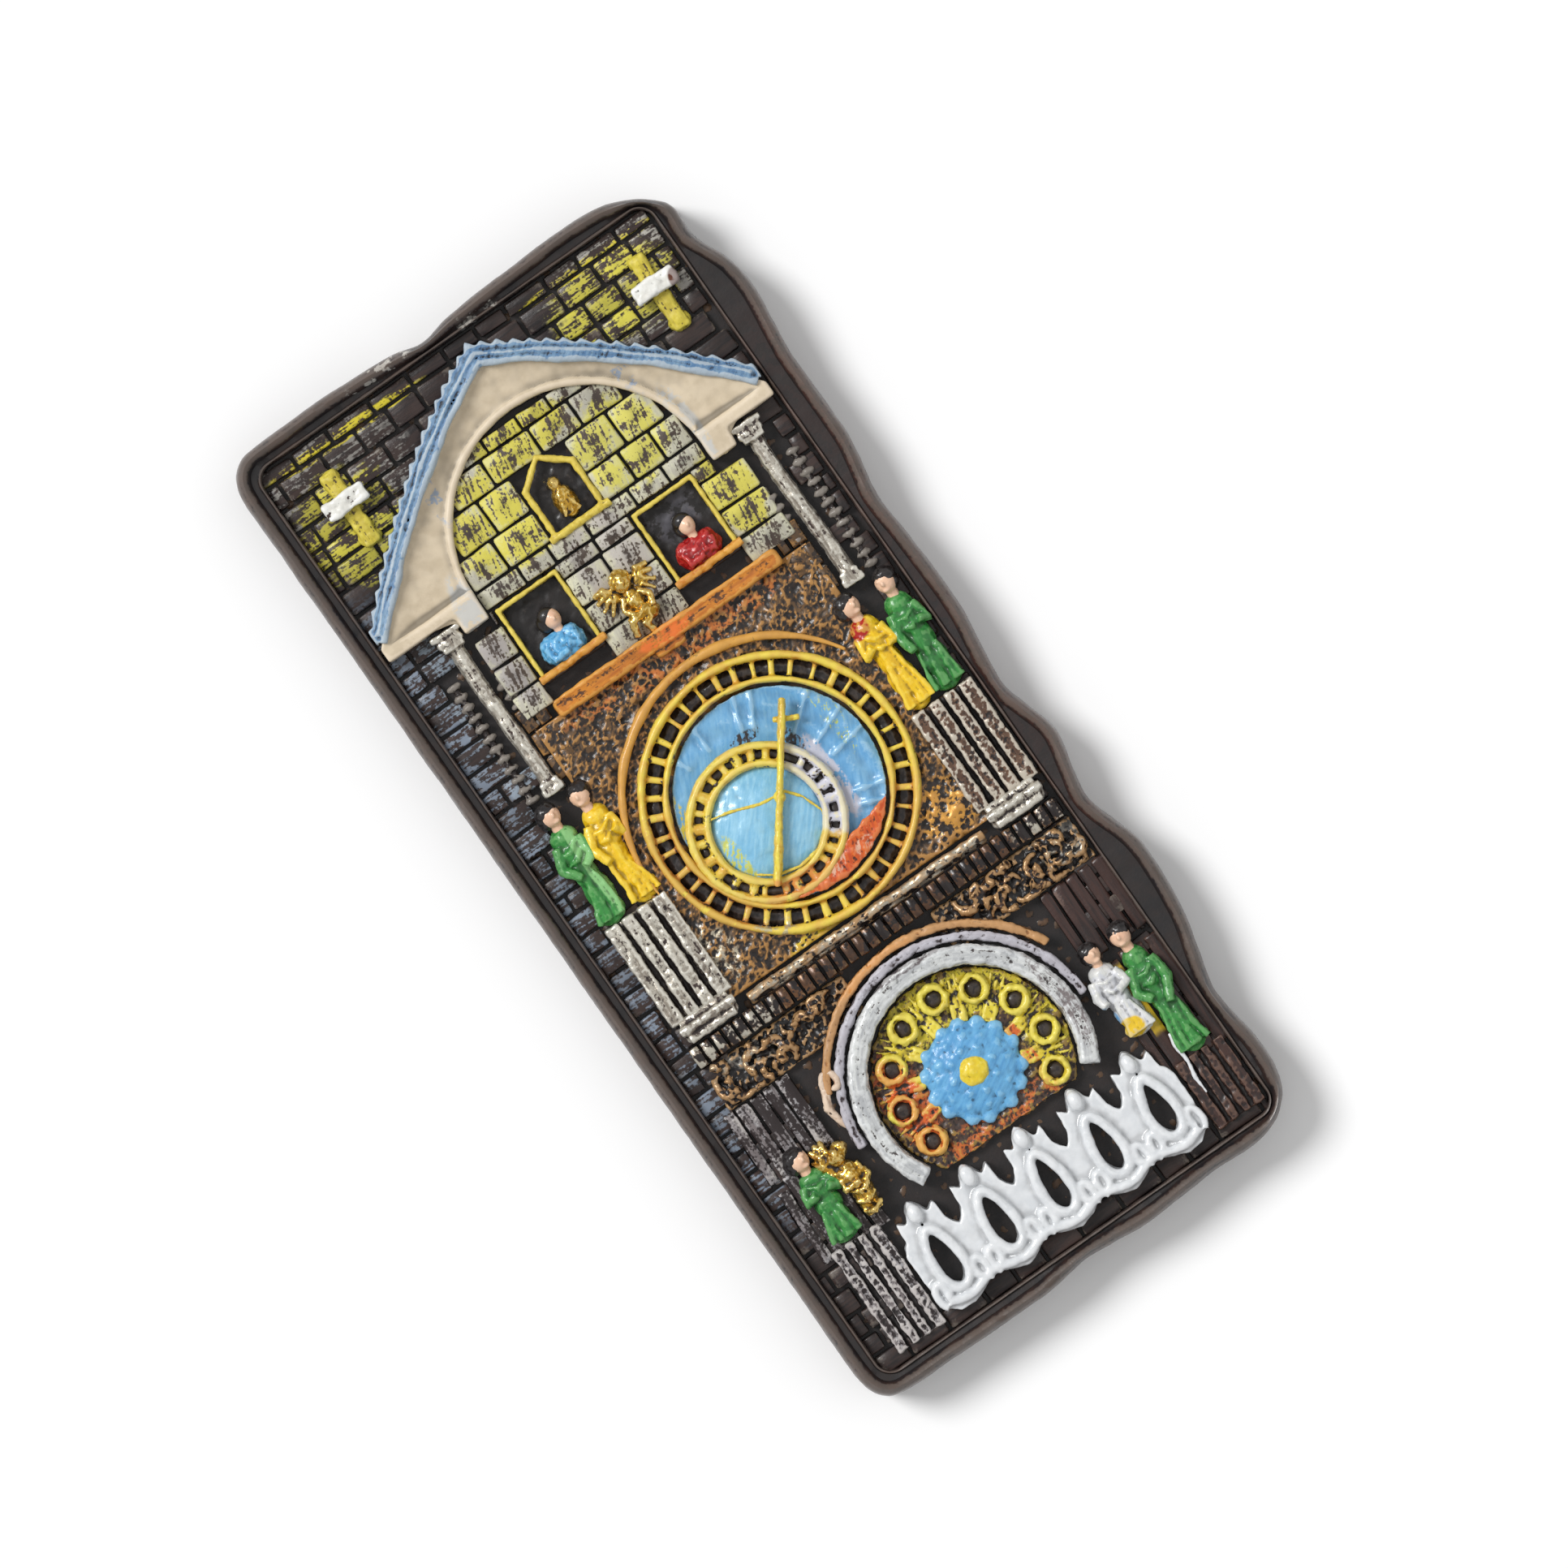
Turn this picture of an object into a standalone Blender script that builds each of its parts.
"""Souvenir relief plaque of a tower front: a cast tray with a raised rim, and a coloured relief that
is laid in the tray piece by piece, with two magnets sunk in its back.

Units are metres and +Z points out of the relief. The plaque lies on its back at z = 0. The relief is
laid out in its own frame: x = 0 is the tower's axis and y = 0 is the lower edge of the tray's floor.
"""

import math

import bmesh
import bpy

MM = 0.001

# --- Clearances -----------------------------------------------------------------------------------
GAP = 0.3 * MM  # bed of adhesive, or open joint, between two pieces that meet
STEEP_GAP = GAP * math.sqrt(2)  # the same joint, measured upright on a slope

# --- Depths, from the back outwards ---------------------------------------------------------------
MAGNET_RECESS = 0.2 * MM
MAGNET_THICKNESS = 2.0 * MM
PAD_THICKNESS = 0.3 * MM
FLOOR_SKIN = 1.1 * MM  # what is left of the floor over a magnet pocket
RIM_HEIGHT = 2.4 * MM  # rim above the floor
RIM_ROUNDING = 0.9 * MM

PANEL_DEPTH = 0.9 * MM
WALL_DEPTH = 1.1 * MM
DIAL_DEPTH = 0.6 * MM
RING_DEPTH = 1.2 * MM
FRAME_DEPTH = 0.7 * MM
TRIM_DEPTH = 0.7 * MM
LOW_DEPTH = 1.2 * MM
MIDDLE_DEPTH = 1.9 * MM
HIGH_DEPTH = 2.7 * MM
ARCH_DEPTH = 3.1 * MM

POCKET_DEPTH = MAGNET_RECESS + MAGNET_THICKNESS + GAP + PAD_THICKNESS + GAP
FLOOR_Z = POCKET_DEPTH + FLOOR_SKIN
RIM_Z = FLOOR_Z + RIM_HEIGHT
BED_Z = FLOOR_Z + GAP  # underside of what lies on the floor
ON_PANEL_Z = BED_Z + PANEL_DEPTH + GAP
ON_WALL_Z = BED_Z + WALL_DEPTH + GAP
ON_DIAL_Z = ON_PANEL_Z + DIAL_DEPTH + GAP
ON_ZODIAC_Z = ON_DIAL_Z + TRIM_DEPTH + GAP

# --- Magnets --------------------------------------------------------------------------------------
MAGNET_RADIUS = 6.0 * MM
MAGNET_CLEARANCE = 0.3 * MM
MAGNET_SPACING = 52.0 * MM
MAGNET_EDGE = 0.2 * MM

# --- Lower storey: cresting and calendar ----------------------------------------------------------
FOOT_MARGIN = 1.0 * MM
CRESTING_HEIGHT = 11.2 * MM
CRESTING_HALF = 15.1 * MM
CRESTING_UNITS = 5
# One unit of the cresting, in shares of its width and height: half of its leaf, its foot, its opening.
CRESTING_LEAF = ((0.02, 0.62), (0.14, 0.72), (0.16, 0.90), (0.30, 0.84), (0.38, 0.93), (0.50, 1.0))
CRESTING_FOOT = ((0.06, 0.10), (0.50, 0.0), (0.94, 0.10))
CRESTING_DROP = ((0.50, 0.80), (0.36, 0.55), (0.34, 0.33), (0.50, 0.20), (0.66, 0.33), (0.64, 0.55))
CALENDAR_LIFT = 6.4 * MM  # from the cresting's top to the calendar's centre
CALENDAR_RADIUS = 9.5 * MM
CALENDAR_ARCH_WIDTH = 1.9 * MM
CALENDAR_RING_WIDTH = 0.9 * MM
CALENDAR_HOOD_WIDTH = 0.8 * MM
CALENDAR_HOOD_TURN = 25  # degrees above level where the hood's ends are
LOWEST_CUT = 0.99  # how far below its centre a calendar circle can be cut off, in its radii
HUB_RADIUS = 1.4 * MM
FLOWER_RADIUS = 5.0 * MM
FLOWER_SCALLOP = 0.3 * MM
PETALS = 12
PETAL_STEPS = 4
ROUNDEL_RADIUS = 1.5 * MM
ROUNDEL_WALL = 0.6 * MM
ROUNDELS = 12
RIGHT_STEP = 4.0 * MM  # how much lower the outer right figure stands

# --- Cornice --------------------------------------------------------------------------------------
FOLIAGE_HEIGHT = 4.4 * MM
FOLIAGE_START = 5.0 * MM  # from the axis
CORNICE_MARGIN = 0.5 * MM
DENTIL_HEIGHT = 2.1 * MM
DENTIL_PITCH = 1.4 * MM
DENTIL_GAP = 0.5 * MM
RAIL_HEIGHT = 1.0 * MM
CAP_HEIGHT = 1.9 * MM

# --- Clock ----------------------------------------------------------------------------------------
DIAL_RADIUS = 9.9 * MM
BEZEL_WIDTH = 0.5 * MM
HOUR_BAND_WIDTH = 1.1 * MM
HOUR_RING_WIDTH = 0.7 * MM
HOURS = 24
HOUR_BAR = 0.4 * MM
HOOD_MARGIN = 1.1 * MM
HOOD_WIDTH = 0.7 * MM
HOOD_TURN = 28  # degrees above level where the hood's ends are
PANEL_EDGE = 0.5 * MM
ZODIAC_RADIUS = 6.9 * MM
ZODIAC_WIDTH = 2.0 * MM
ZODIAC_TURN = 213  # degrees: where the zodiac ring leans to
NIGHT_TURNS = (245, 325)
HAND_TURN = 54
HAND_WIDTH = 0.9 * MM
HAND_ARM = 3.0 * MM

# --- Side bays ------------------------------------------------------------------------------------
FIGURE_WIDTH = 3.2 * MM
CLOCK_FIGURE_HEIGHT = 12.6 * MM
LOWER_FIGURE_HEIGHT = 9.8 * MM
FIGURE_ROUNDING = 0.25 * MM
SLIMMEST = 12.8  # widths of rounding in a figure's width, at the least
HEAD_RADIUS = 1.05 * MM
PILASTER_HEIGHT = 10.9 * MM
FLUTES = 3
FLUTE_WIDTH = 0.5 * MM
COLUMN_WIDTH = 1.6 * MM
COLUMN_MARGIN = 0.8 * MM
CAPITAL_OVERHANG = 0.4 * MM
CAPITAL_HEIGHT = 2.0 * MM
CROCKET_WIDTH = 1.4 * MM
CROCKET_HEIGHT = 13.0 * MM
CROCKET_NOTCHES = 9
CROCKET_STEM = 0.6  # the notch's width, in shares of the strip's
CROCKET_BUD = (0.4, 0.7)  # where a bud is full width, in shares of the notches' pitch
LEFT_MARGIN = 2.3 * MM
RIGHT_MARGIN = 0.4 * MM

# --- Upper storey: wall, windows and gable --------------------------------------------------------
HOOD_TO_LEDGE = 2.2 * MM
LEDGE_HEIGHT = 1.8 * MM
LEDGE_INSET = 1.1 * MM  # from the panel's side to the ledge's end
SILL_HEIGHT = 2.2 * MM  # from the ledge's top to the window openings
WINDOW_WIDTH = 5.8 * MM
WINDOW_HEIGHT = 7.2 * MM
WINDOW_FRAME = 0.65 * MM
WINDOW_LEFT_INSET = 0.25 * MM  # from the wall's side to the window's frame
WINDOW_RIGHT_INSET = 1.95 * MM
WINDOW_REVEAL = 0.87 * MM  # on each side of the bust in a window
WINDOW_HEADROOM = 1.7 * MM
SPRING_RISE = 2.3 * MM  # from the window openings' top to the arch's centre
ARCH_RADIUS = 12.6 * MM
ARCH_LEG_WIDTH = 2.7 * MM
ARCH_LEG_DROP = 2.1 * MM
NICHE_X = -0.7 * MM
NICHE_HALF = 2.3 * MM
NICHE_RISE = 0.9 * MM  # from the arch's centre to the niche's sill
NICHE_WALL_HEIGHT = 4.2 * MM
NICHE_PEAK = 2.0 * MM
NICHE_FRAME = 0.75 * MM
NICHE_REVEAL = 0.9 * MM
NICHE_HEADROOM = 1.6 * MM
CHERUB_HEIGHT = 6.2 * MM
CHERUB_MARGIN = 0.6 * MM  # to the window frames on its two sides
EAVE_RISE = 3.3 * MM  # from the arch's centre to the roof's lower corner
GABLE_RISE = 16.8 * MM
GABLE_STEEPNESS = 0.63  # straight share of the gable's slope; the rest is a parabola
ROOF_BAND = 1.7 * MM
TOOTH_PITCH = 1.3 * MM
TOOTH_DEPTH = 0.6 * MM
KNEELER_DEPTH = 1.4 * MM
PINNACLE_OFFSET = 0.5 * MM  # how far outside the column's axis it stands
PINNACLE_WIDTH = 1.7 * MM
PINNACLE_HEIGHT = 8.0 * MM
PINNACLE_ARM = 4.6 * MM
PINNACLE_ARM_HEIGHT = 1.8 * MM
PINNACLE_ARM_DROP = 2.4 * MM  # from the post's top to the arm's top
TOP_MARGIN = 1.1 * MM

# --- Tray -----------------------------------------------------------------------------------------
RIM_WIDTH = 2.3 * MM
NECK_WIDTH = 1.4 * MM  # the right-hand rim where it is narrowest
WAVE_DEPTH = 2.6 * MM
FLOOR_CORNER = 1.6 * MM
RIM_CORNER = 3.4 * MM
# Up the right-hand edge: the share of the plaque's height, and how far the wave stands out there.
RIGHT_WAVES = (
    (0.03, 0.10), (0.085, 0.30), (0.135, 0.00), (0.20, 0.75), (0.28, 0.95), (0.335, 0.20),
    (0.40, 0.80), (0.455, 0.08), (0.53, 0.50), (0.62, 0.40), (0.66, 0.30), (0.71, 0.72),
    (0.80, 0.68), (0.86, 1.00), (0.90, 0.80), (0.935, 0.12), (0.965, 0.30),
)  # fmt: skip
# Along the lower edge, then the upper edge: the share of the width, and the rim's own width there.
LOWER_WAVES = ((0.15, 0.95), (0.40, 1.00), (0.50, 0.72), (0.64, 1.00), (0.80, 0.76), (0.92, 0.85))
UPPER_WAVES = (
    (0.90, 0.95), (0.70, 0.97), (0.52, 0.80), (0.465, 0.42), (0.41, 0.80), (0.25, 1.00), (0.12, 0.95),
)  # fmt: skip

# --- Smoothness -----------------------------------------------------------------------------------
ROUND_STEPS = 40
ARC_STEPS = 24
SMALL_STEPS = 10
CORNER_STEPS = 4
HEAD_SEGMENTS = 8
HEAD_RINGS = 5
LEFT_SPANS = 12

# --- Worked out from the sizes above --------------------------------------------------------------
CRESTING_TOP = FOOT_MARGIN + CRESTING_HEIGHT
CALENDAR_Y = CRESTING_TOP + CALENDAR_LIFT
CALENDAR_ARCH_INNER = CALENDAR_RADIUS + GAP
CALENDAR_RING_INNER = CALENDAR_ARCH_INNER + CALENDAR_ARCH_WIDTH + GAP
CALENDAR_HOOD_INNER = CALENDAR_RING_INNER + CALENDAR_RING_WIDTH + GAP
CALENDAR_OUTER = CALENDAR_HOOD_INNER + CALENDAR_HOOD_WIDTH
DENTIL_Y = CALENDAR_Y + CALENDAR_OUTER + CORNICE_MARGIN
RAIL_Y = DENTIL_Y + DENTIL_HEIGHT + GAP
CAP_TOP = RAIL_Y + CAP_HEIGHT

BEZEL_INNER = DIAL_RADIUS + GAP
HOUR_BAND_INNER = BEZEL_INNER + BEZEL_WIDTH + GAP
HOUR_RING_INNER = HOUR_BAND_INNER + HOUR_BAND_WIDTH + GAP
CLOCK_RADIUS = HOUR_RING_INNER + HOUR_RING_WIDTH
HOOD_INNER = CLOCK_RADIUS + HOOD_MARGIN
PANEL_HALF = CLOCK_RADIUS + PANEL_EDGE
LEDGE_HALF = PANEL_HALF - LEDGE_INSET
PANEL_Y = RAIL_Y + RAIL_HEIGHT + GAP
CLOCK_Y = PANEL_Y + CLOCK_RADIUS

LEDGE_Y = CLOCK_Y + HOOD_INNER + HOOD_WIDTH + HOOD_TO_LEDGE
PANEL_TOP = LEDGE_Y + LEDGE_HEIGHT
WALL_Y = PANEL_TOP + GAP
WINDOW_Y = PANEL_TOP + SILL_HEIGHT
SPRING_Y = WINDOW_Y + WINDOW_HEIGHT + SPRING_RISE
EAVE_Y = SPRING_Y + EAVE_RISE
PEAK_Y = EAVE_Y + GABLE_RISE
KNEELER_Y = EAVE_Y - ROOF_BAND - STEEP_GAP - KNEELER_DEPTH
FLOOR_TOP = PEAK_Y + TOP_MARGIN

WALL_HALF = ARCH_RADIUS - GAP
WINDOW_HALF = WINDOW_WIDTH / 2 + WINDOW_FRAME
WINDOW_LEFT_X = -(WALL_HALF - WINDOW_LEFT_INSET - WINDOW_HALF)
WINDOW_RIGHT_X = WALL_HALF - WINDOW_RIGHT_INSET - WINDOW_HALF

FIGURE_PAIR = 2 * (GAP + FIGURE_WIDTH)
COLUMN_INNER = max(ARCH_RADIUS + ARCH_LEG_WIDTH + COLUMN_MARGIN, PANEL_HALF + GAP + CAPITAL_OVERHANG)
COLUMN_X = COLUMN_INNER + COLUMN_WIDTH / 2
PINNACLE_X = COLUMN_X + PINNACLE_OFFSET
CROCKET_X = COLUMN_X + COLUMN_WIDTH / 2 + CAPITAL_OVERHANG + GAP + CROCKET_WIDTH / 2
LOWER_START = CALENDAR_RING_INNER + CALENDAR_RING_WIDTH
BODY_HALF = max(
    PANEL_HALF + FIGURE_PAIR,
    CROCKET_X + CROCKET_WIDTH / 2,
    LOWER_START + FIGURE_PAIR,
    CRESTING_HALF + GAP + FIGURE_WIDTH,
)
FLOOR_LEFT = -(BODY_HALF + LEFT_MARGIN)
FLOOR_RIGHT = BODY_HALF + RIGHT_MARGIN
FIGURE_Y = CAP_TOP + GAP + PILASTER_HEIGHT + GAP
COLUMN_Y = FIGURE_Y + CLOCK_FIGURE_HEIGHT + GAP
COLUMN_TOP = KNEELER_Y - GAP

# --- Colours: red, green, blue, roughness, metallic -----------------------------------------------
FINISHES = {
    "casting": (0.070, 0.048, 0.042, 0.55, 0.0),
    "roof_blue": (0.150, 0.270, 0.430, 0.50, 0.0),
    "beige": (0.620, 0.500, 0.370, 0.60, 0.0),
    "pale_stone": (0.520, 0.480, 0.190, 0.65, 0.0),
    "ochre": (0.640, 0.480, 0.090, 0.50, 0.0),
    "gold": (0.600, 0.390, 0.090, 0.30, 0.9),
    "silver": (0.560, 0.540, 0.470, 0.32, 0.9),
    "copper_brown": (0.260, 0.140, 0.060, 0.50, 0.1),
    "orange": (0.560, 0.230, 0.060, 0.50, 0.0),
    "red_orange": (0.620, 0.130, 0.030, 0.45, 0.0),
    "sky_blue": (0.150, 0.380, 0.620, 0.40, 0.0),
    "robe_blue": (0.130, 0.380, 0.660, 0.35, 0.0),
    "robe_red": (0.400, 0.012, 0.012, 0.35, 0.0),
    "robe_green": (0.050, 0.240, 0.060, 0.35, 0.0),
    "robe_yellow": (0.800, 0.520, 0.020, 0.35, 0.0),
    "enamel_white": (0.740, 0.760, 0.760, 0.20, 0.0),
    "chalk_white": (0.560, 0.560, 0.610, 0.50, 0.0),
    "hour_black": (0.030, 0.026, 0.022, 0.50, 0.0),
    "magnet_steel": (0.320, 0.320, 0.330, 0.30, 1.0),
    "adhesive": (0.600, 0.580, 0.520, 0.60, 0.0),
}


# --- Scene and materials --------------------------------------------------------------------------
def empty_scene():
    """Removes whatever the scene holds."""
    for obj in list(bpy.data.objects):
        bpy.data.objects.remove(obj, do_unlink=True)


def new_collection(name, is_helper=False):
    """A collection of the scene; a helper collection isn't rendered."""
    collection = bpy.data.collections.new(name)
    collection.hide_render = is_helper
    bpy.context.scene.collection.children.link(collection)
    return collection


def paint(obj, finish):
    """Gives the object its own plain material."""
    red, green, blue, roughness, metallic = FINISHES[finish]
    material = bpy.data.materials.new(obj.name)
    material.use_nodes = True
    shader = material.node_tree.nodes["Principled BSDF"]
    shader.inputs["Base Color"].default_value = (red, green, blue, 1.0)
    shader.inputs["Roughness"].default_value = roughness
    shader.inputs["Metallic"].default_value = metallic
    obj.data.materials.append(material)


# --- Outlines -------------------------------------------------------------------------------------
def arc(radius, start, end, steps, centre=(0.0, 0.0)):
    """Points along an arc, from one angle to another in degrees."""
    turns = [math.radians(start + (end - start) * i / steps) for i in range(steps + 1)]
    return [(centre[0] + radius * math.cos(t), centre[1] + radius * math.sin(t)) for t in turns]


def circle(radius, centre=(0.0, 0.0), steps=ROUND_STEPS):
    """Points round a whole circle."""
    return arc(radius, 0, 360, steps, centre)[:-1]


def arch_band(inner, width, start, end, centre):
    """The outline of a flat band that follows an arc."""
    outside = arc(inner + width, start, end, ARC_STEPS, centre)
    return outside + arc(inner, end, start, ARC_STEPS, centre)


def box(left, bottom, right, top):
    """The outline of a rectangle."""
    return [(left, bottom), (right, bottom), (right, top), (left, top)]


def rounded_box(left, bottom, right, top, radius):
    """The outline of a rectangle with round corners."""
    corners = (
        (right, bottom, 1, -1, 270),
        (right, top, 1, 1, 0),
        (left, top, -1, 1, 90),
        (left, bottom, -1, -1, 180),
    )
    points = []
    for x, y, side, up, turn in corners:
        points += arc(radius, turn, turn + 90, CORNER_STEPS, (x - side * radius, y - up * radius))
    return points


def catmull_rom(a, b, c, d, t):
    """The value at a share t of the way from b to c, smooth with a before them and d after them."""
    square = (2 * a - 5 * b + 4 * c - d) * t**2
    cube = (3 * b - a - 3 * c + d) * t**3
    return (2 * b + (c - a) * t + square + cube) / 2


def smooth(points, steps):
    """A closed curve that passes smoothly through the points."""
    loop = []
    count = len(points)
    for i in range(count):
        before, here, there, after = (points[(i + k) % count] for k in (-1, 0, 1, 2))
        for step in range(steps):
            t = step / steps
            axes = zip(before, here, there, after)
            loop.append(tuple(catmull_rom(*values, t) for values in axes))
    return loop


def turned(points, turn, centre):
    """The points turned about their zero point, in radians, which is then moved to the centre."""
    across, up = math.cos(turn), math.sin(turn)
    return [(centre[0] + x * across - y * up, centre[1] + x * up + y * across) for x, y in points]


def placed(shares, x, y, width, height):
    """An outline given in shares of a width and a height, at its size and with its zero point at x and y."""
    return [(x + across * width, y + up * height) for across, up in shares]


# --- Solids ---------------------------------------------------------------------------------------
def slab(name, loops, base, depth, finish, edge=0.0, steps=0):
    """A flat piece of the outlines, which may hold holes, with rounded edges."""
    curve = bpy.data.curves.new(name, "CURVE")
    curve.dimensions = "2D"
    curve.fill_mode = "BOTH"
    curve.extrude = depth / 2 - edge
    curve.bevel_depth = edge
    curve.bevel_resolution = steps
    curve.offset = -edge
    for loop in loops:
        spline = curve.splines.new("POLY")
        spline.points.add(len(loop) - 1)
        for point, (x, y) in zip(spline.points, loop):
            point.co = (x, y, 0.0, 1.0)
        spline.use_cyclic_u = True
    obj = bpy.data.objects.new(name, curve)
    obj.location.z = base + depth / 2
    obj.parent = FACADE
    PLAQUE.objects.link(obj)
    if finish:
        paint(obj, finish)
    return obj


def as_mesh(obj):
    """The same piece as a welded mesh, so that it can be cut, joined or used as a cutter."""
    bpy.context.view_layer.update()
    evaluated = obj.evaluated_get(bpy.context.evaluated_depsgraph_get())
    mesh = bpy.data.meshes.new_from_object(evaluated)
    weld(mesh)
    name = obj.name
    solid = bpy.data.objects.new(name + "_solid", mesh)
    solid.parent = FACADE
    PLAQUE.objects.link(solid)
    solid.matrix_world = obj.matrix_world
    bpy.data.objects.remove(obj)
    solid.name = name
    return solid


def weld(mesh):
    """Closes the seams between a curve's caps and its sides."""
    shape = bmesh.new()
    shape.from_mesh(mesh)
    bmesh.ops.remove_doubles(shape, verts=shape.verts, dist=GAP / 100)
    shape.to_mesh(mesh)
    shape.free()


def as_helper(obj):
    """Keeps the object only as a cutter or as a shape to join."""
    obj.hide_render = True
    obj.display_type = "WIRE"
    PLAQUE.objects.unlink(obj)
    CUTTERS.objects.link(obj)


def combine(target, helper, operation):
    """Cuts the helper from the target, or joins it."""
    as_helper(helper)
    modifier = target.modifiers.new(helper.name, "BOOLEAN")
    modifier.operation = operation
    modifier.object = helper
    return target


def head(name, x, y, z):
    """A round head, as a shape to join to a figure."""
    bpy.ops.mesh.primitive_uv_sphere_add(
        segments=HEAD_SEGMENTS, ring_count=HEAD_RINGS, radius=HEAD_RADIUS, location=(x, y, z)
    )
    ball = bpy.context.object
    ball.name = name + "_head"
    for collection in list(ball.users_collection):
        collection.objects.unlink(ball)
    PLAQUE.objects.link(ball)
    ball.parent = FACADE
    return ball


# --- Tray and magnets -----------------------------------------------------------------------------
def tray_outline():
    """The plaque's edge: three sides nearly straight, and the right-hand one in waves."""
    left = FLOOR_LEFT - RIM_WIDTH
    right = FLOOR_RIGHT + NECK_WIDTH
    bottom, height = -RIM_WIDTH, FLOOR_TOP + 2 * RIM_WIDTH
    width = right - left
    lower = [(left + share * width, -rim * RIM_WIDTH) for share, rim in LOWER_WAVES]
    side = [(right + wave * WAVE_DEPTH, bottom + share * height) for share, wave in RIGHT_WAVES]
    upper = [(left + share * width, FLOOR_TOP + rim * RIM_WIDTH) for share, rim in UPPER_WAVES]
    top_left = arc(RIM_CORNER, 110, 180, 2, (left + RIM_CORNER, FLOOR_TOP + RIM_WIDTH - RIM_CORNER))
    low_left = arc(RIM_CORNER, 180, 250, 2, (left + RIM_CORNER, bottom + RIM_CORNER))
    straight = [(left, bottom + height * (LEFT_SPANS - i) / LEFT_SPANS) for i in range(1, LEFT_SPANS)]
    return smooth(lower + side + upper + top_left + straight + low_left, 2)


def tray():
    """The casting that holds the rest: floor, rim, and two pockets in the back."""
    body = as_mesh(slab("tray", [TRAY_LOOP], 0.0, RIM_Z, "casting", RIM_ROUNDING, 1))
    floor = rounded_box(FLOOR_LEFT, 0.0, FLOOR_RIGHT, FLOOR_TOP, FLOOR_CORNER)
    combine(body, as_mesh(slab("tray_hollow", [floor], FLOOR_Z, 2 * RIM_HEIGHT, None)), "DIFFERENCE")
    radius = MAGNET_RADIUS + MAGNET_CLEARANCE
    pockets = [circle(radius, centre) for centre in MAGNET_CENTRES]
    hollow = slab("tray_pockets", pockets, -POCKET_DEPTH, 2 * POCKET_DEPTH, None)
    combine(body, as_mesh(hollow), "DIFFERENCE")


def magnets():
    """Two disc magnets, each on its adhesive pad, in the pockets of the back."""
    pad_z = MAGNET_RECESS + MAGNET_THICKNESS + GAP
    for place, centre in zip(("lower", "upper"), MAGNET_CENTRES):
        disc = [circle(MAGNET_RADIUS, centre)]
        slab("magnet_" + place, disc, MAGNET_RECESS, MAGNET_THICKNESS, "magnet_steel", MAGNET_EDGE)
        slab("magnet_pad_" + place, disc, pad_z, PAD_THICKNESS, "adhesive")


# --- Lower storey ---------------------------------------------------------------------------------
CALENDAR_CENTRE = (0.0, CALENDAR_Y)
ROUNDEL_ORBIT = (CALENDAR_RADIUS + FLOWER_RADIUS + FLOWER_SCALLOP) / 2


def cut_angle(radius):
    """The angle, in degrees below level, where a calendar circle meets the cresting."""
    drop = min(CALENDAR_LIFT - GAP, LOWEST_CUT * radius)
    return math.degrees(math.asin(drop / radius))


def calendar_arches():
    """The three concentric arches over the calendar, from the inside out."""
    foot = cut_angle(CALENDAR_ARCH_INNER + CALENDAR_ARCH_WIDTH)
    white = arch_band(CALENDAR_ARCH_INNER, CALENDAR_ARCH_WIDTH, -foot, 180 + foot, CALENDAR_CENTRE)
    slab("calendar_arch", [white], BED_Z, HIGH_DEPTH, "enamel_white", GAP)
    grey = arch_band(CALENDAR_RING_INNER, CALENDAR_RING_WIDTH, 0, 180, CALENDAR_CENTRE)
    slab("calendar_outer_ring", [grey], BED_Z, MIDDLE_DEPTH, "chalk_white", GAP / 2)
    turns = (CALENDAR_HOOD_TURN, 180 - CALENDAR_HOOD_TURN)
    hood = arch_band(CALENDAR_HOOD_INNER, CALENDAR_HOOD_WIDTH, *turns, CALENDAR_CENTRE)
    slab("calendar_hood", [hood], BED_Z, MIDDLE_DEPTH, "orange", GAP / 2)


def calendar_disc():
    """The calendar's plate, its roundels on a carrier ring, the scalloped disc and the hub."""
    foot = cut_angle(CALENDAR_RADIUS)
    plate = arc(CALENDAR_RADIUS, -foot, 180 + foot, ROUND_STEPS, CALENDAR_CENTRE)
    slab("calendar_plate", [plate], BED_Z, PANEL_DEPTH, "copper_brown")
    flower = []
    for step in range(PETALS * PETAL_STEPS):
        turn = 2 * math.pi * step / (PETALS * PETAL_STEPS)
        reach = FLOWER_RADIUS + FLOWER_SCALLOP * math.cos(PETALS * turn)
        flower.append((reach * math.cos(turn), CALENDAR_Y + reach * math.sin(turn)))
    slab("calendar_flower", [flower], ON_PANEL_Z, TRIM_DEPTH, "sky_blue", GAP / 2)
    hub_z = ON_PANEL_Z + TRIM_DEPTH + GAP
    hub = circle(HUB_RADIUS, CALENDAR_CENTRE, SMALL_STEPS * 2)
    slab("calendar_hub", [hub], hub_z, TRIM_DEPTH, "robe_yellow", GAP / 2)


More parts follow.
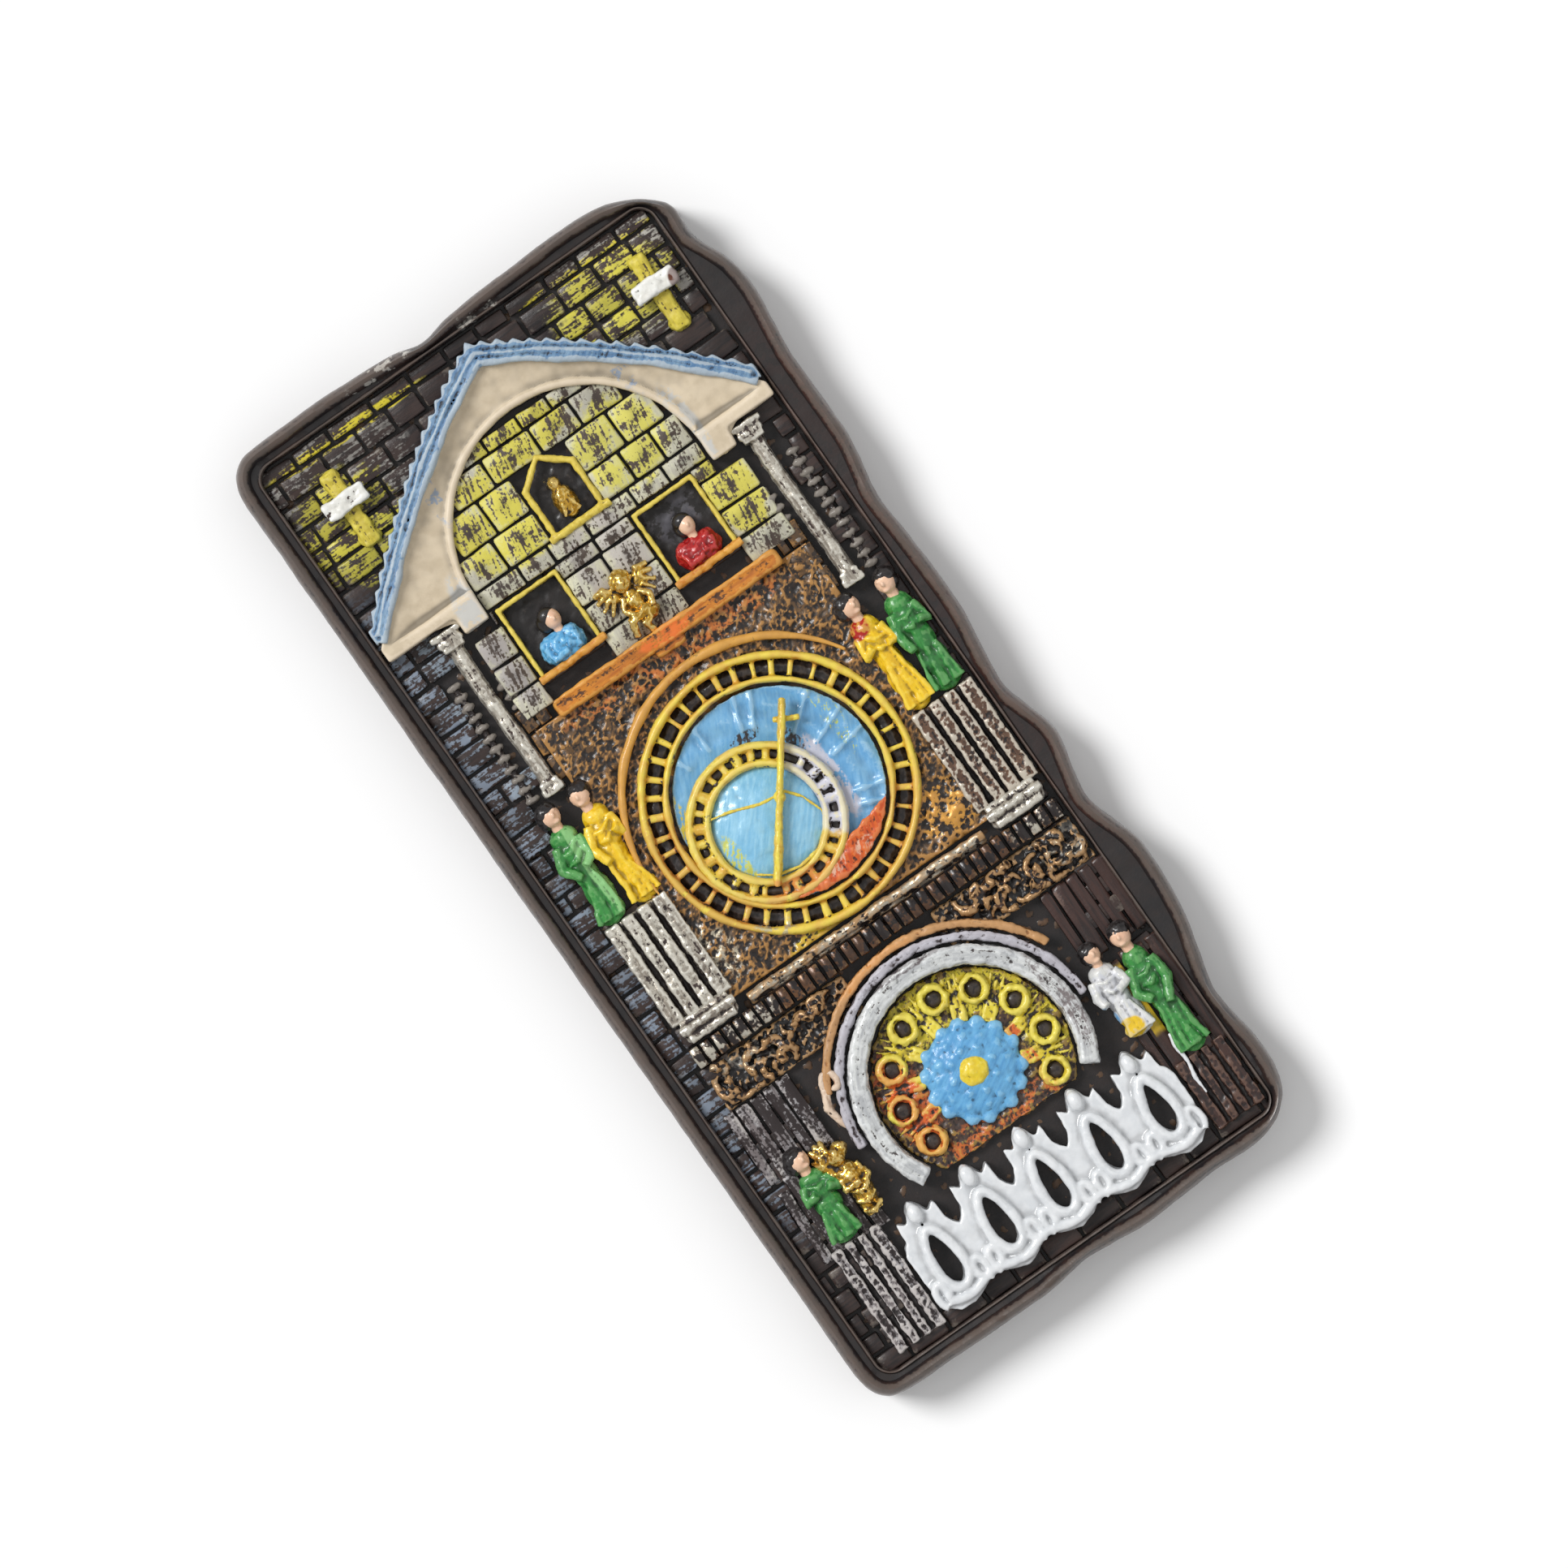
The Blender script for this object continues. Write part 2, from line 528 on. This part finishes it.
def calendar_roundels():
    """The ring of small hollow roundels, as far down as the cresting lets them show."""
    loops = []
    lowest = CRESTING_TOP + GAP + ROUNDEL_RADIUS
    angles = []
    for number in range(ROUNDELS):
        turn = 360 * (number + 1 / 2) / ROUNDELS - 90
        x, y = arc(ROUNDEL_ORBIT, turn, turn, 1, CALENDAR_CENTRE)[0]
        if y > lowest:
            angles.append(turn)
            loops.append(circle(ROUNDEL_RADIUS, (x, y), SMALL_STEPS))
            loops.append(circle(ROUNDEL_RADIUS - ROUNDEL_WALL, (x, y), SMALL_STEPS))
    carrier_half = ROUNDEL_WALL / 2
    inner = ROUNDEL_ORBIT + ROUNDEL_RADIUS - ROUNDEL_WALL - carrier_half
    carrier = arch_band(inner, ROUNDEL_WALL, min(angles), max(angles), CALENDAR_CENTRE)
    ring = as_mesh(slab("calendar_roundels", [carrier], ON_PANEL_Z, FRAME_DEPTH / 2, "ochre"))
    cups = as_mesh(slab("roundel_cups", loops, ON_PANEL_Z, FRAME_DEPTH, None))
    combine(ring, cups, "UNION")


def scroll_cresting():
    """A white band of arched openings under pointed leaves, all alike, on a scalloped foot."""
    pitch = 2 * CRESTING_HALF / CRESTING_UNITS
    crown, foot, holes = [], [], []
    for unit in range(CRESTING_UNITS):
        left = -CRESTING_HALF + unit * pitch
        sizes = (left, FOOT_MARGIN, pitch, CRESTING_HEIGHT)
        crown += placed(CRESTING_LEAF, *sizes)
        crown += placed([(1 - x, y) for x, y in reversed(CRESTING_LEAF[:-1])], *sizes)
        foot += placed(CRESTING_FOOT, *sizes)
        holes.append(smooth(placed(CRESTING_DROP, *sizes), 2))
    slab("scroll_cresting", [smooth(foot + crown[::-1], 2)] + holes, BED_Z, HIGH_DEPTH, "enamel_white")


def plinths():
    """The piers below the lower figures, one step lower on the right."""
    outside = CRESTING_HALF + GAP
    rows = ((-1, "plinth_left", CRESTING_TOP), (1, "plinth_right", CRESTING_TOP - RIGHT_STEP))
    for side, name, top in rows:
        edges = sorted((side * outside, side * BODY_HALF))
        front = box(edges[0], FOOT_MARGIN, edges[1], top)
        pier = as_mesh(slab(name, [front], BED_Z, LOW_DEPTH, "chalk_white"))
        grooves = flute_outlines(edges[0], edges[1], FOOT_MARGIN - GAP, top + GAP)
        cutter = as_mesh(slab(name + "_flutes", grooves, BED_Z + LOW_DEPTH / 2, LOW_DEPTH, None))
        combine(pier, cutter, "DIFFERENCE")


def flute_outlines(left, right, bottom, top):
    """Upright grooves, spread evenly between two edges."""
    pitch = (right - left) / (FLUTES + 1)
    centres = [left + pitch * (i + 1) for i in range(FLUTES)]
    return [box(x - FLUTE_WIDTH / 2, bottom, x + FLUTE_WIDTH / 2, top) for x in centres]


# --- Figures --------------------------------------------------------------------------------------
ROBE = (
    (-0.34, 0.0), (0.34, 0.0), (0.42, 0.24), (0.32, 0.52), (0.50, 0.72), (0.46, 0.90),
    (0.18, 0.98), (-0.18, 0.98), (-0.46, 0.90), (-0.50, 0.72), (-0.34, 0.48), (-0.44, 0.22),
)  # fmt: skip
WINGED = (
    (-0.10, 0.0), (0.22, 0.02), (0.20, 0.30), (0.40, 0.46), (0.34, 0.72), (0.50, 0.94),
    (0.16, 0.98), (-0.06, 0.98), (-0.42, 1.10), (-0.50, 0.90), (-0.26, 0.62), (-0.28, 0.32),
)  # fmt: skip
SEATED = (
    (-0.30, 0.0), (0.02, 0.10), (0.30, 0.0), (0.40, 0.30), (0.26, 0.58), (0.50, 0.72), (0.46, 1.10),
    (0.18, 0.98), (-0.18, 0.98), (-0.46, 1.12), (-0.50, 0.72), (-0.24, 0.56), (-0.42, 0.28),
)  # fmt: skip
BUST = ((-0.50, 0.0), (0.50, 0.0), (0.48, 0.50), (0.22, 0.98), (-0.22, 0.98), (-0.48, 0.50))
NECK = 0.3  # how far a head's centre is above the shoulders, in head radii


def figure(name, shape, centre_x, base_y, width, height, base_z, depth, finish):
    """A robed figure that stands flat on its base: a rounded outline with a round head joined on its top."""
    robe_height = height - (1 + NECK) * HEAD_RADIUS
    curve = smooth(shape, 2)
    low = min(y for _, y in curve)
    hemmed = [(x, (y - low) / (1 - low)) for x, y in curve]
    outline = placed(hemmed, centre_x, base_y, width, robe_height)
    rounding = min(FIGURE_ROUNDING, width / SLIMMEST)
    robe = as_mesh(slab(name, [outline], base_z, depth, finish, rounding))
    head_z = base_z + max(HEAD_RADIUS, depth / 2)
    skull = head(name, centre_x, base_y + robe_height + NECK * HEAD_RADIUS, head_z)
    combine(robe, skull, "UNION")


def bay_x(start, place):
    """The centre of the inner (0) or outer (1) figure in a side bay that starts at x."""
    return start + (GAP + FIGURE_WIDTH) * place + GAP + FIGURE_WIDTH / 2


def clock_figures():
    """The two figures on each side of the clock."""
    for side, word in ((-1, "left"), (1, "right")):
        for place, (where, finish) in enumerate((("inner", "robe_yellow"), ("outer", "robe_green"))):
            name = f"clock_figure_{word}_{where}"
            x = side * bay_x(PANEL_HALF, place)
            figure(name, ROBE, x, FIGURE_Y, FIGURE_WIDTH, CLOCK_FIGURE_HEIGHT, BED_Z, HIGH_DEPTH, finish)


def lower_figures():
    """The two figures on each side of the calendar; the inner left one is winged."""
    inner, outer = (bay_x(LOWER_START, place) for place in (0, 1))
    base = CRESTING_TOP + GAP
    rows = (
        ("lower_figure_left_outer", ROBE, -outer, base, "robe_green"),
        ("lower_figure_winged", WINGED, -inner, base, "gold"),
        ("lower_figure_right_inner", ROBE, inner, base, "enamel_white"),
        ("lower_figure_right_outer", ROBE, outer, base - RIGHT_STEP, "robe_green"),
    )
    for name, shape, x, y, finish in rows:
        height = CRESTING_TOP + GAP + LOWER_FIGURE_HEIGHT - y
        figure(name, shape, x, y, FIGURE_WIDTH, height, BED_Z, HIGH_DEPTH, finish)


# --- Cornice --------------------------------------------------------------------------------------
def cornice():
    """The rail, its end caps, and the dentils below it."""
    rail = box(-PANEL_HALF, RAIL_Y, PANEL_HALF, RAIL_Y + RAIL_HEIGHT)
    slab("cornice_rail", [rail], BED_Z, HIGH_DEPTH, "silver", GAP)
    for side, word in ((-1, "left"), (1, "right")):
        edges = sorted((side * (PANEL_HALF + GAP), side * BODY_HALF))
        cap = box(edges[0], RAIL_Y, edges[1], CAP_TOP)
        slab(f"cornice_cap_{word}", [cap], BED_Z, HIGH_DEPTH, "silver", GAP)
    course = box(-BODY_HALF, DENTIL_Y, BODY_HALF, DENTIL_Y + DENTIL_HEIGHT)
    back = as_mesh(slab("dentil_course", [course], BED_Z, LOW_DEPTH, "copper_brown"))
    count = int(2 * BODY_HALF / DENTIL_PITCH)
    pitch = 2 * BODY_HALF / count
    inset = DENTIL_GAP / 2
    top = DENTIL_Y + DENTIL_HEIGHT - inset
    teeth = [
        box(-BODY_HALF + i * pitch + inset, DENTIL_Y + inset, -BODY_HALF + (i + 1) * pitch - inset, top)
        for i in range(count)
    ]
    combine(back, as_mesh(slab("dentils", teeth, BED_Z + LOW_DEPTH / 2, LOW_DEPTH, None)), "UNION")


def foliage():
    """Carved leaves in the spandrels beside the calendar's hood."""
    top = DENTIL_Y - GAP
    edge = circle(CALENDAR_OUTER + GAP, CALENDAR_CENTRE)
    for side, word in ((-1, "left"), (1, "right")):
        edges = sorted((side * FOLIAGE_START, side * BODY_HALF))
        block = box(edges[0], top - FOLIAGE_HEIGHT, edges[1], top)
        carving = as_mesh(slab(f"foliage_{word}", [block], BED_Z, MIDDLE_DEPTH, "copper_brown"))
        cutter = as_mesh(slab(f"foliage_{word}_edge", [edge], FLOOR_Z, 2 * MIDDLE_DEPTH, None))
        combine(carving, cutter, "DIFFERENCE")


# --- Clock ----------------------------------------------------------------------------------------
CLOCK_CENTRE = (0.0, CLOCK_Y)


def clock_panel():
    """The stone panel behind the clock, up to the ledge."""
    stone = box(-PANEL_HALF, PANEL_Y, PANEL_HALF, PANEL_TOP)
    slab("clock_panel", [stone], BED_Z, PANEL_DEPTH, "copper_brown")


def clock_rings():
    """The dial and the rings round it, from the inside out, and the hood over them."""
    slab("dial_face", [circle(DIAL_RADIUS, CLOCK_CENTRE)], ON_PANEL_Z, DIAL_DEPTH, "sky_blue")
    rows = (
        ("dial_bezel", BEZEL_INNER, BEZEL_WIDTH, "ochre"),
        ("hour_ring", HOUR_RING_INNER, HOUR_RING_WIDTH, "orange"),
    )
    for name, inner, width, finish in rows:
        loops = [circle(inner + width, CLOCK_CENTRE), circle(inner, CLOCK_CENTRE)]
        slab(name, loops, ON_PANEL_Z, RING_DEPTH, finish)
    hood = arch_band(HOOD_INNER, HOOD_WIDTH, HOOD_TURN, 180 - HOOD_TURN, CLOCK_CENTRE)
    slab("clock_hood", [hood], ON_PANEL_Z, RING_DEPTH, "orange", GAP / 2)


def hour_band():
    """A dark band with a raised bar at each hour."""
    outer = HOUR_BAND_INNER + HOUR_BAND_WIDTH
    base = DIAL_DEPTH / 2
    half = HOUR_BAR / 2
    loops = [circle(outer, CLOCK_CENTRE), circle(HOUR_BAND_INNER, CLOCK_CENTRE)]
    band = as_mesh(slab("hour_band", loops, ON_PANEL_Z, base, "hour_black"))
    margin = HOUR_BAR / 4
    near, far = HOUR_BAND_INNER + margin, outer - margin
    bars = []
    for hour in range(HOURS):
        turn = 2 * math.pi * (hour + 1 / 2) / HOURS
        bars.append(turned(box(near, -half, far, half), turn, CLOCK_CENTRE))
    combine(band, as_mesh(slab("hour_bars", bars, ON_PANEL_Z + base / 2, DIAL_DEPTH, None)), "UNION")


def dial_furniture():
    """The eccentric zodiac ring, the red segment at the dial's foot, and the hand over both."""
    lean = math.radians(ZODIAC_TURN)
    shift = DIAL_RADIUS - ZODIAC_RADIUS
    centre = (shift * math.cos(lean), CLOCK_Y + shift * math.sin(lean))
    ring = [circle(ZODIAC_RADIUS, centre), circle(ZODIAC_RADIUS - ZODIAC_WIDTH, centre)]
    slab("zodiac_ring", ring, ON_DIAL_Z, TRIM_DEPTH, "ochre")
    night = arc(DIAL_RADIUS, *NIGHT_TURNS, ARC_STEPS, CLOCK_CENTRE)
    segment = as_mesh(slab("night_sector", [night], ON_DIAL_Z, TRIM_DEPTH / 2, "red_orange"))
    edge = circle(ZODIAC_RADIUS + GAP, centre)
    cutter = as_mesh(slab("night_sector_edge", [edge], ON_PANEL_Z, 2 * RING_DEPTH, None))
    combine(segment, cutter, "DIFFERENCE")
    reach = DIAL_RADIUS - HAND_WIDTH
    half = HAND_WIDTH / 2
    shape = ((-reach, 0), (-reach / 2, -half), (reach - half, -half), (reach, 0), (reach - half, half),
             (half, half), (0, HAND_ARM), (-half, half), (-reach / 2, half))  # fmt: skip
    hand = turned(shape, math.radians(HAND_TURN), CLOCK_CENTRE)
    slab("clock_hand", [hand], ON_ZODIAC_Z, TRIM_DEPTH, "robe_yellow")


# --- Side bays ------------------------------------------------------------------------------------
def pilasters():
    """Fluted piers between the cornice caps and the clock figures."""
    for side, word in ((-1, "left"), (1, "right")):
        edges = sorted((side * (PANEL_HALF + GAP), side * BODY_HALF))
        bottom, top = CAP_TOP + GAP, CAP_TOP + GAP + PILASTER_HEIGHT
        front = box(edges[0], bottom, edges[1], top)
        pier = as_mesh(slab(f"pilaster_{word}", [front], BED_Z, MIDDLE_DEPTH, "silver"))
        grooves = flute_outlines(edges[0], edges[1], bottom - GAP, top + GAP)
        flutes = slab(f"pilaster_{word}_flutes", grooves, BED_Z + MIDDLE_DEPTH / 2, MIDDLE_DEPTH, None)
        combine(pier, as_mesh(flutes), "DIFFERENCE")


def columns():
    """Slim columns under the ends of the gable, each with its capital and foot in one outline."""
    half, wide = COLUMN_WIDTH / 2, COLUMN_WIDTH / 2 + CAPITAL_OVERHANG
    neck, foot = COLUMN_TOP - CAPITAL_HEIGHT, COLUMN_Y + CAPITAL_OVERHANG * 2
    low, high = foot + CAPITAL_OVERHANG, neck - CAPITAL_OVERHANG
    right = [(wide, COLUMN_Y), (wide, foot), (half, low), (half, high), (wide, neck), (wide, COLUMN_TOP)]
    outline = right + [(-x, y) for x, y in reversed(right)]
    for side, word in ((-1, "left"), (1, "right")):
        loop = [(side * COLUMN_X + x, y) for x, y in outline]
        slab(f"column_{word}", [loop], BED_Z, MIDDLE_DEPTH, "silver", GAP / 2)


def crockets():
    """Dark notched strips that run up beside the columns."""
    half = CROCKET_WIDTH / 2
    pitch = CROCKET_HEIGHT / CROCKET_NOTCHES
    right = []
    for notch in range(CROCKET_NOTCHES):
        low = COLUMN_Y + notch * pitch
        right += [(half * CROCKET_STEM, low)] + [(half, low + pitch * share) for share in CROCKET_BUD]
    outline = right + [(0.0, COLUMN_Y + CROCKET_HEIGHT + half)] + [(-x, y) for x, y in reversed(right)]
    for side, word in ((-1, "left"), (1, "right")):
        loop = [(side * CROCKET_X + x, y) for x, y in outline]
        slab(f"crocket_strip_{word}", [loop], BED_Z, LOW_DEPTH, "casting")


# --- Upper storey ---------------------------------------------------------------------------------
def window_boxes(margin):
    """The two window openings, each grown by a margin."""
    half = WINDOW_WIDTH / 2 + margin
    return [box(x - half, WINDOW_Y - margin, x + half, WINDOW_Y + WINDOW_HEIGHT + margin)
            for x in (WINDOW_LEFT_X, WINDOW_RIGHT_X)]  # fmt: skip


def niche_outline(margin):
    """The niche's five-sided opening, grown by a margin."""
    half = NICHE_HALF + margin
    sill = SPRING_Y + NICHE_RISE
    shoulder = sill + NICHE_WALL_HEIGHT
    mitre = margin * math.hypot(NICHE_HALF, NICHE_PEAK) / NICHE_HALF
    return [(NICHE_X - half, sill - margin), (NICHE_X + half, sill - margin), (NICHE_X + half, shoulder),
            (NICHE_X, shoulder + NICHE_PEAK + mitre), (NICHE_X - half, shoulder)]  # fmt: skip


def tympanum_wall():
    """The pale stone wall under the arch, open at the two windows and the niche."""
    outline = [(-WALL_HALF, WALL_Y), (WALL_HALF, WALL_Y)]
    outline += arc(WALL_HALF, 0, 180, ARC_STEPS, (0.0, SPRING_Y))
    loops = [outline] + window_boxes(0.0) + [niche_outline(0.0)]
    slab("tympanum_wall", loops, BED_Z, WALL_DEPTH, "pale_stone")


def window_frames():
    """A thin frame round each window and round the niche."""
    for name, inner, outer in zip(("left", "right"), window_boxes(0.0), window_boxes(WINDOW_FRAME)):
        slab(f"window_frame_{name}", [outer, inner], ON_WALL_Z, FRAME_DEPTH, "ochre")
    slab("niche_frame", [niche_outline(NICHE_FRAME), niche_outline(0.0)], ON_WALL_Z, FRAME_DEPTH, "ochre")


def upper_figures():
    """A bust in each window, a small figure in the niche, and the winged figure on the ledge."""
    width = WINDOW_WIDTH - 2 * WINDOW_REVEAL
    height = WINDOW_HEIGHT - GAP - WINDOW_HEADROOM
    rows = (
        ("window_figure_left", WINDOW_LEFT_X, "robe_blue"),
        ("window_figure_right", WINDOW_RIGHT_X, "robe_red"),
    )
    for name, x, finish in rows:
        figure(name, BUST, x, WINDOW_Y + GAP, width, height, BED_Z, MIDDLE_DEPTH, finish)
    sill = SPRING_Y + NICHE_RISE + GAP
    width = 2 * (NICHE_HALF - NICHE_REVEAL)
    height = NICHE_WALL_HEIGHT + NICHE_PEAK - GAP - NICHE_HEADROOM
    figure("niche_figure", ROBE, NICHE_X, sill, width, height, BED_Z, MIDDLE_DEPTH, "gold")
    width = WINDOW_RIGHT_X - WINDOW_LEFT_X - 2 * (WINDOW_HALF + CHERUB_MARGIN)
    centre = (WINDOW_LEFT_X + WINDOW_RIGHT_X) / 2
    figure("cherub", SEATED, centre, WALL_Y + GAP, width, CHERUB_HEIGHT, ON_WALL_Z, LOW_DEPTH, "gold")


def ledge_bar():
    """The round-edged ledge along the panel's top."""
    shape = box(-LEDGE_HALF, LEDGE_Y, LEDGE_HALF, LEDGE_Y + LEDGE_HEIGHT)
    slab("ledge_bar", [shape], ON_PANEL_Z, RING_DEPTH, "orange", RING_DEPTH / 4, 1)


def gable_y(x):
    """The height of the roof's upper edge at x."""
    share = abs(x) / (EAVE_LEFT if x < 0 else EAVE_RIGHT)
    return EAVE_Y + GABLE_RISE * (1 - GABLE_STEEPNESS * share - (1 - GABLE_STEEPNESS) * share**2)


def gable_points(drop, teeth=0.0):
    """The roof's edge from the left eave to the right one, lowered, and toothed where asked."""
    points = []
    for reach, side in ((EAVE_LEFT, -1), (EAVE_RIGHT, 1)):
        count = 2 * round(reach / TOOTH_PITCH)
        xs = [side * reach * i / count for i in range(count + 1)]
        half = [(x, gable_y(x) - drop - teeth * (i % 2)) for i, x in enumerate(xs)]
        points += half[::-1] if side < 0 else half[1:]
    return points


def gable_roof():
    """The toothed band of roof tiles along both slopes."""
    outline = gable_points(0.0, TOOTH_DEPTH) + gable_points(ROOF_BAND)[::-1]
    slab("gable_roof", [outline], BED_Z, HIGH_DEPTH, "roof_blue")


def gable_arch():
    """The plastered gable: straight kneelers, two short legs and a round arch between them."""
    leg = ARCH_RADIUS + ARCH_LEG_WIDTH
    foot = SPRING_Y - ARCH_LEG_DROP
    top = gable_points(ROOF_BAND + STEEP_GAP)[::2]
    right = [(EAVE_RIGHT, KNEELER_Y), (leg, KNEELER_Y), (leg, foot), (ARCH_RADIUS, foot)]
    left = [(-ARCH_RADIUS, foot), (-leg, foot), (-leg, KNEELER_Y), (-EAVE_LEFT, KNEELER_Y)]
    inside = arc(ARCH_RADIUS, 0, 180, ARC_STEPS, (0.0, SPRING_Y))
    slab("gable_arch", [top + right + inside + left], BED_Z, ARCH_DEPTH, "beige")


def pinnacles():
    """A post with a cross arm on each side of the gable."""
    for side, word in ((-1, "left"), (1, "right")):
        x = side * PINNACLE_X
        inner = PINNACLE_X - PINNACLE_WIDTH / 2
        base = max(gable_y(-inner), gable_y(inner)) + 2 * GAP
        top = min(base + PINNACLE_HEIGHT, FLOOR_TOP - GAP)
        half, reach = PINNACLE_WIDTH / 2, PINNACLE_ARM / 2
        arm_top = top - PINNACLE_ARM_DROP
        post = box(x - half, base, x + half, top)
        arm = box(x - reach, arm_top - PINNACLE_ARM_HEIGHT, x + reach, arm_top)
        slab(f"pinnacle_post_{word}", [post], BED_Z, LOW_DEPTH, "ochre", GAP / 2)
        arm_z = BED_Z + LOW_DEPTH + GAP
        slab(f"pinnacle_arm_{word}", [arm], arm_z, TRIM_DEPTH, "enamel_white", GAP / 2)


# --- Assembly -------------------------------------------------------------------------------------
EAVE_LEFT = -FLOOR_LEFT - GAP
EAVE_RIGHT = FLOOR_RIGHT - GAP
TRAY_LOOP = tray_outline()
TRAY_XS, TRAY_YS = zip(*TRAY_LOOP)
MIDDLE_X = (min(TRAY_XS) + max(TRAY_XS)) / 2
MIDDLE_Y = (min(TRAY_YS) + max(TRAY_YS)) / 2
MAGNET_CENTRES = [(MIDDLE_X, MIDDLE_Y + side * MAGNET_SPACING / 2) for side in (-1, 1)]

empty_scene()
PLAQUE = new_collection("souvenir_plaque")
CUTTERS = new_collection("cutters", is_helper=True)
FACADE = bpy.data.objects.new("facade_frame", None)
FACADE.location = (-MIDDLE_X, -MIDDLE_Y, 0.0)  # puts the middle of the plaque over the origin
PLAQUE.objects.link(FACADE)

tray()
magnets()
calendar_arches()
calendar_disc()
calendar_roundels()
scroll_cresting()
plinths()
lower_figures()
cornice()
foliage()
clock_panel()
clock_rings()
hour_band()
dial_furniture()
clock_figures()
pilasters()
columns()
crockets()
tympanum_wall()
window_frames()
upper_figures()
ledge_bar()
gable_roof()
gable_arch()
pinnacles()
